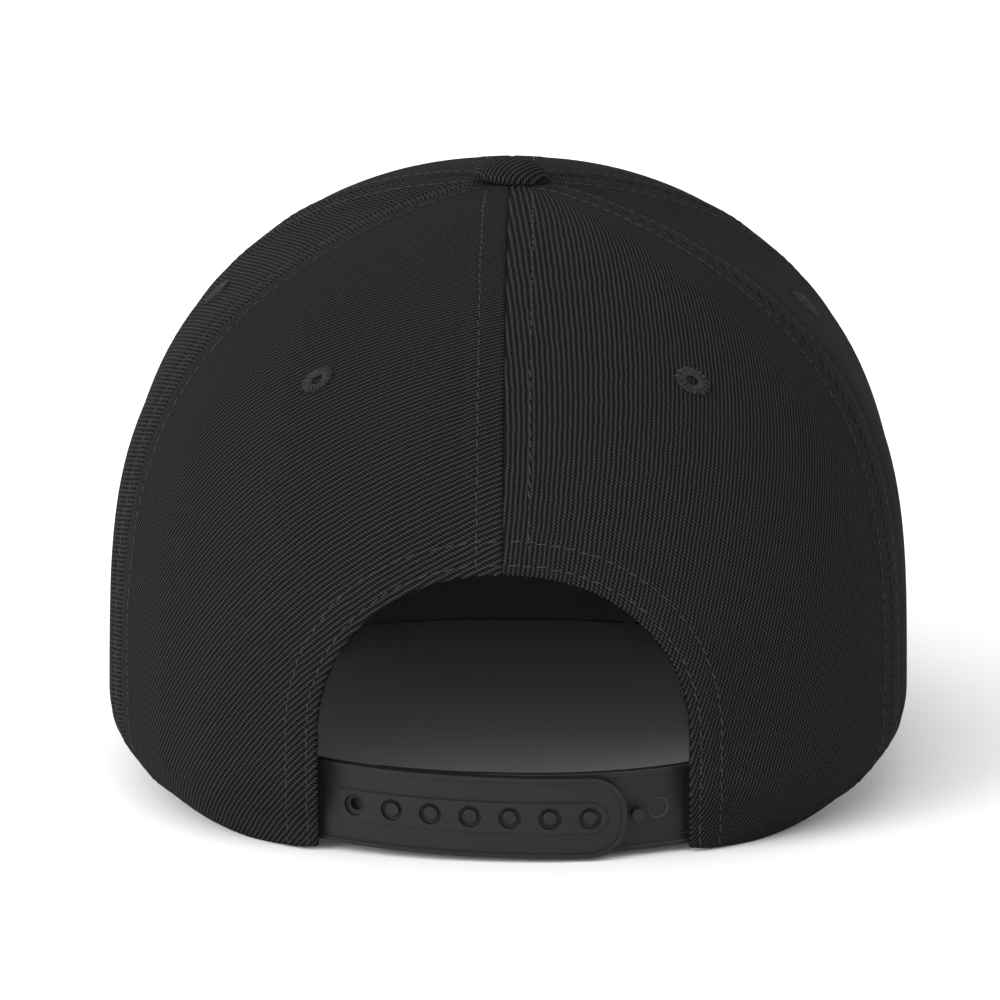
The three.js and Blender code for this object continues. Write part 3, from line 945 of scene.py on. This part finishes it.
def peak_layer(base, thickness, rolled, rows):
    """A layer of the peak: base is its lower face, rolled the depth of its rounded edge."""

    def place(column, row, depth):
        side, out = 1 - 2 * column, 1 - (1 - row) ** 1.6
        point, edge = peak_point(side, out, 0)
        roll = rolled * (1 - math.sqrt(1 - max(0, 1 - edge / rolled) ** 2))
        dents = sum(peak_row_dent * bell(edge - row_inset(i), 0.7) for i in range(rows))
        top, low = base + thickness - roll - dents, base
        if not rows:
            top, low = base + thickness, base + roll * 0.7
        point.z += mix(top, low, depth)
        return point, Vector((point.x + point.y + point.z, point.y - point.x)) * math.sqrt(0.5)

    return sheet_block(int(180 * detail), int(90 * detail), place)


finish_piece(peak_layer(0, peak_under_thickness, 0.9, 0), "peak_under_cloth", [wool_twill],
             "wool_twill", "peak_under")
block = peak_layer(peak_under_thickness + gap * 0.2, peak_top_thickness + gap * 0.8, 1.6,
                   peak_row_count)
finish_piece(block, "peak_board_and_cloth", [wool_twill], "wool_twill", "peak_top")
block = bmesh.new()
for i in range(peak_row_count):
    line = []
    inset = row_inset(i)
    for j in range(161):
        side = mix(0.995, -0.995, j / 160)
        depth = peak_point(side, 0, 0)[1]
        if depth > inset + 1.5:
            point = peak_point(side, 1 - inset / depth, peak_thickness - 0.1)[0]
            line.append((point, Vector((0, 0, 1))))
    sew(block, line)
settle_block(block)
finish_piece(block, "peak_stitching", [thread], "sewing_thread")

# Snap closure
# Two straps moulded in matt black plastic, sewn behind the sides of the opening. The left
# one has a raised rim and a track of seven countersunk holes, and lies over the pegs of
# the right one, six of which are pressed through. Modelled flat, then bent round the rim.
strap_height = 18.6
strap_raise = 2.2
outer_slope = 0.018
strap_end_radius = 8
inner_thickness = 1.7
bead_width = 0.95
bead_height = 0.5
track_height = 7
track_margin = 3.6
hole_count = 7
hole_pitch = 8.75
first_hole_from_cloth = 9.4
last_hole_to_end = 8
hole_radius = 1.5
counterbore_radius = 2.55
counterbore_depth = 1.1
free_peg_step = 11
peg_radius = 1.3
peg_head_radius = 1.6
peg_head_height = 0.6
inner_tip_from_peg = 11.6
strap_cross_start = -14
line_from_cloth = 1.8
mark_from_peg = 5.2
mark_radius = 2.3
mark_depth = 0.07
tab_step = 0.18
moulded_edge = 0.34
strap_colour = "#202020"
# The bevelled edges of both straps are painted this paler grey as a highlight
edge_highlight_colour = "#555556"

strap_line = []
for i in range(481):
    angle = mix(-1.2, 1.2, i / 480)
    radius = rim_radius(angle) - rim_inset(angle)
    strap_line.append(Vector((radius * math.sin(angle), radius * math.cos(angle), 0)))
strap_lengths = [0]
for a, b in zip(strap_line, strap_line[1:]):
    strap_lengths.append(strap_lengths[-1] + (b - a).length)
strap_lengths = [length - strap_lengths[-1] / 2 for length in strap_lengths]
cloth_edge = read_off([point.x for point in strap_line], strap_lengths, arch_half_width)
strap_middle = strap_raise + strap_height / 2
outer_over = gap + outer_thickness


def inner_seat(along, height, depth):
    point = read_off(strap_lengths, strap_line, along)
    ahead = read_off(strap_lengths, strap_line, along + 0.5)
    run = (ahead - point).normalized()
    outward = Vector((-run.y, run.x, 0))
    cross = outer_over * smooth(along, strap_cross_start, cloth_edge - 1)
    return point - outward * (depth + cross) + Vector((0, 0, strap_middle + height))


def outer_seat(along, height, depth):
    return inner_seat(along, height + outer_slope * along, depth - outer_over)


def plate(start, end, height, radius, square_start=False):
    """A flat plate lying along x, with its end at start rounded, as a single face."""
    block = bmesh.new()
    bmesh.ops.create_grid(block, x_segments=1, y_segments=1, size=0.5)
    for vert in block.verts:
        vert.co = Vector((start if vert.co.x < 0 else end, vert.co.y * height, 0))
    if not square_start:
        ends = [vert for vert in block.verts if abs(vert.co.x - start) < 1e-6]
        bmesh.ops.bevel(block, geom=ends, offset=radius, offset_type="OFFSET", segments=14,
                        profile=0.5, affect="VERTICES", material=-1)
        bmesh.ops.remove_doubles(block, verts=block.verts, dist=1e-4)
    return block


def thicken(block, low, high):
    """Pulls a flat plate into a solid between two heights."""
    pulled = bmesh.ops.extrude_face_region(block, geom=block.faces[:], use_keep_orig=True)
    tops = [part for part in pulled["geom"] if isinstance(part, bmesh.types.BMVert)]
    for vert in block.verts:
        vert.co.z = low
    for vert in tops:
        vert.co.z = high
    bmesh.ops.recalc_face_normals(block, faces=block.faces)
    return block


def round_bar(x, radius, low, high, sides=40):
    block = bmesh.new()
    place = Matrix.Translation((x, 0, (low + high) / 2))
    bmesh.ops.create_cone(block, cap_ends=True, segments=sides, radius1=radius,
                          radius2=radius, depth=high - low, matrix=place)
    return block


def loose_object(block, name):
    mesh = bpy.data.meshes.new(name)
    block.to_mesh(mesh)
    block.free()
    made = bpy.data.objects.new(name, mesh)
    scene.collection.objects.link(made)
    return made


def cut_and_join(body, tools):
    """Works a list of (operation, bmesh) into a body by booleans and returns it as a bmesh."""
    body.data.materials.append(moulded)
    body.data.materials.append(moulded_edge_highlight)
    held = [body]
    for number, (operation, block) in enumerate(tools):
        tool = loose_object(block, f"tool_{number}")
        step = body.modifiers.new(f"step_{number}", "BOOLEAN")
        step.operation, step.object, step.solver = operation, tool, "EXACT"
        held.append(tool)
    edge = body.modifiers.new("edge", "BEVEL")
    edge.width, edge.segments, edge.limit_method = moulded_edge, 3, "ANGLE"
    edge.angle_limit = math.radians(40)
    # The bevel faces take the second material, the painted edge highlight
    edge.material = 1
    edge.use_clamp_overlap = True
    shaped = body.evaluated_get(bpy.context.evaluated_depsgraph_get())
    result = bmesh.new()
    result.from_mesh(shaped.to_mesh())
    for made in held:
        bpy.data.objects.remove(made)
    return result


def bend(block, seat, thickness, step=1.6):
    """Cuts a flat moulding across every step, then bends it to its seat."""
    bmesh.ops.triangulate(block, faces=block.faces[:])
    low = min(vert.co.x for vert in block.verts)
    high = max(vert.co.x for vert in block.verts)
    for i in range(1, int((high - low) / step)):
        bmesh.ops.bisect_plane(block, geom=block.verts[:] + block.edges[:] + block.faces[:],
                               plane_co=(low + i * step, 0, 0), plane_no=(1, 0, 0), dist=1e-4)
    for vert in block.verts:
        vert.co = seat(vert.co.x, vert.co.y, thickness - vert.co.z)
    return block


# Satin black plastic with a fine grain that breaks up the light, and its bevelled edges painted
# paler as a highlight
moulded, tree, shader = new_material("moulded_plastic_strap")
place = add(tree, "ShaderNodeTexCoord").outputs["Object"]
spark = add(tree, "ShaderNodeTexNoise", {"Scale": 2600, "Detail": 2}, Vector=place)
bump = add(tree, "ShaderNodeBump", {"Strength": 0.25, "Distance": 0.08 * mm},
           Height=spark.outputs["Fac"])
cloud = add(tree, "ShaderNodeTexNoise", {"Scale": 120, "Detail": 3}, Vector=place)
gloss = add(tree, "ShaderNodeMapRange", {"To Min": 0.4, "To Max": 0.55},
            Value=cloud.outputs["Fac"])
tree.links.new(bump.outputs["Normal"], shader.inputs["Normal"])
tree.links.new(gloss.outputs[0], shader.inputs["Roughness"])
shader.inputs["Base Color"].default_value = linear(strap_colour)
shader.inputs["Specular IOR Level"].default_value = 0.15
moulded_edge_highlight = moulded.copy()
moulded_edge_highlight.name = "moulded_plastic_painted_edge_highlight"
edge_highlight_shader = moulded_edge_highlight.node_tree.nodes["Principled BSDF"]
edge_highlight_shader.inputs["Base Color"].default_value = linear(edge_highlight_colour)

hole_places = [cloth_edge - first_hole_from_cloth - i * hole_pitch for i in range(hole_count)]
outer_end = hole_places[-1] - last_hole_to_end
inner_end = hole_places[1] + inner_tip_from_peg
outer_root = cloth_edge + strap_tab
inner_root = -cloth_edge - strap_tab


def strap_tools(start, end, thickness, line_at):
    """The sunk face inside the raised rim, and the thinner tab that is sewn in."""
    towards = math.copysign(1, end - start)
    sunk = plate(start + towards * bead_width, end + towards * 5, strap_height - 2 * bead_width,
                 strap_end_radius - bead_width)
    tab = plate(line_at, end + towards * 5, strap_height - 5, 1, True)
    face = thickness - bead_height
    return [("DIFFERENCE", thicken(sunk, face, thickness + 2)),
            ("DIFFERENCE", thicken(tab, face - tab_step, thickness + 2))]


body = thicken(plate(outer_end, outer_root, strap_height, strap_end_radius), 0, outer_thickness)
track = plate(hole_places[-1] - track_margin, hole_places[0] + track_margin, track_height,
              track_height / 2 - 0.01)
tools = strap_tools(outer_end, outer_root, outer_thickness, cloth_edge - line_from_cloth)
tools.append(("UNION", thicken(track, 0.5, outer_thickness - 0.02)))
peg_seat = outer_thickness - counterbore_depth
for hole in hole_places:
    tools.append(("DIFFERENCE", round_bar(hole, hole_radius, -1, 3)))
    tools.append(("DIFFERENCE", round_bar(hole, counterbore_radius, peg_seat, 3)))
block = cut_and_join(loose_object(body, "outer_blank"), tools)
bend(block, outer_seat, outer_thickness)
settle_block(block)
outer = finish_piece(block, "strap_with_holes", [moulded, moulded_edge_highlight], "moulded_plastic",
                     "strap_outer")

body = thicken(plate(inner_end, inner_root, strap_height, strap_end_radius), 0, inner_thickness)
tools = strap_tools(inner_end, inner_root, inner_thickness, -cloth_edge + line_from_cloth)
free_peg = hole_places[-1] - free_peg_step
mark_floor = inner_thickness - bead_height - mark_depth
tools.append(("DIFFERENCE", round_bar(free_peg - mark_from_peg, mark_radius, mark_floor, 3)))
block = cut_and_join(loose_object(body, "inner_blank"), tools)
bend(block, inner_seat, inner_thickness)
for peg in [*hole_places[1:], free_peg]:
    top = peg_seat + gap + peg_head_height
    shank = round_bar(peg, peg_radius, -outer_over + 0.4, top - peg_head_height, 24)
    head = round_bar(peg, peg_head_radius, top - peg_head_height, top, 24)
    crown_edges = [e for e in head.edges if all(v.co.z > top - 0.1 for v in e.verts)]
    bmesh.ops.bevel(head, geom=crown_edges, offset=0.28, segments=3, profile=0.5,
                    affect="EDGES", material=-1)
    for part in (shank, head):
        for vert in part.verts:
            vert.co = outer_seat(vert.co.x, vert.co.y, outer_thickness - vert.co.z)
        take_in(block, part)
settle_block(block)
inner = finish_piece(block, "strap_with_pegs", [moulded, moulded_edge_highlight], "moulded_plastic",
                     "strap_inner")
for strap in (outer, inner):
    strap.data.set_sharp_from_angle(angle=math.radians(50))
    strap.modifiers.new("even_shading", "WEIGHTED_NORMAL").keep_sharp = True

# Floor and light
# A white sweep that fills the picture, under an even white sky and one broad soft light
# from the upper left, which leaves a faint shadow at the right of the cap.
floor_half = 6
paper_white = (0.97, 0.97, 0.97, 1)
sky_level = 1.5
sky_slope = (0.5, 0.35, -0.4)
key_strength = 1.8
key_softness = math.radians(35)
key_direction = Vector((-0.75, -0.6, -0.42))
block = bmesh.new()
bmesh.ops.create_grid(block, x_segments=1, y_segments=1, size=floor_half)
mesh = bpy.data.meshes.new("floor")
block.to_mesh(mesh)
block.free()
floor = bpy.data.objects.new("floor", mesh)
scene.collection.objects.link(floor)

# Matt paper that burns out to plain white except where the cap shades it
paper, tree, shader = new_material("matt_white_paper")
shader.inputs["Base Color"].default_value = paper_white
shader.inputs["Roughness"].default_value = 1
shader.inputs["Specular IOR Level"].default_value = 0
mesh.materials.append(paper)

world = bpy.data.worlds.new("studio")
world.use_nodes = True
tree = world.node_tree
towards = add(tree, "ShaderNodeTexCoord").outputs["Generated"]
settings = {"operation": "DOT_PRODUCT", 1: sky_slope}
side_light = add(tree, "ShaderNodeVectorMath", settings, _0=towards)
settings = {"operation": "ADD", 1: sky_level}
level = add(tree, "ShaderNodeMath", settings, _0=side_light.outputs["Value"])
sky = tree.nodes["Background"]
sky.inputs["Color"].default_value = (1, 1, 1, 1)
tree.links.new(level.outputs[0], sky.inputs["Strength"])
scene.world = world

key = bpy.data.objects.new("soft_key", bpy.data.lights.new("soft_key", "SUN"))
key.data.energy = key_strength
key.data.angle = key_softness
key.rotation_euler = key_direction.to_track_quat("-Z", "Y").to_euler()
scene.collection.objects.link(key)
scene.view_settings.view_transform = "Standard"

bpy.context.view_layer.update()
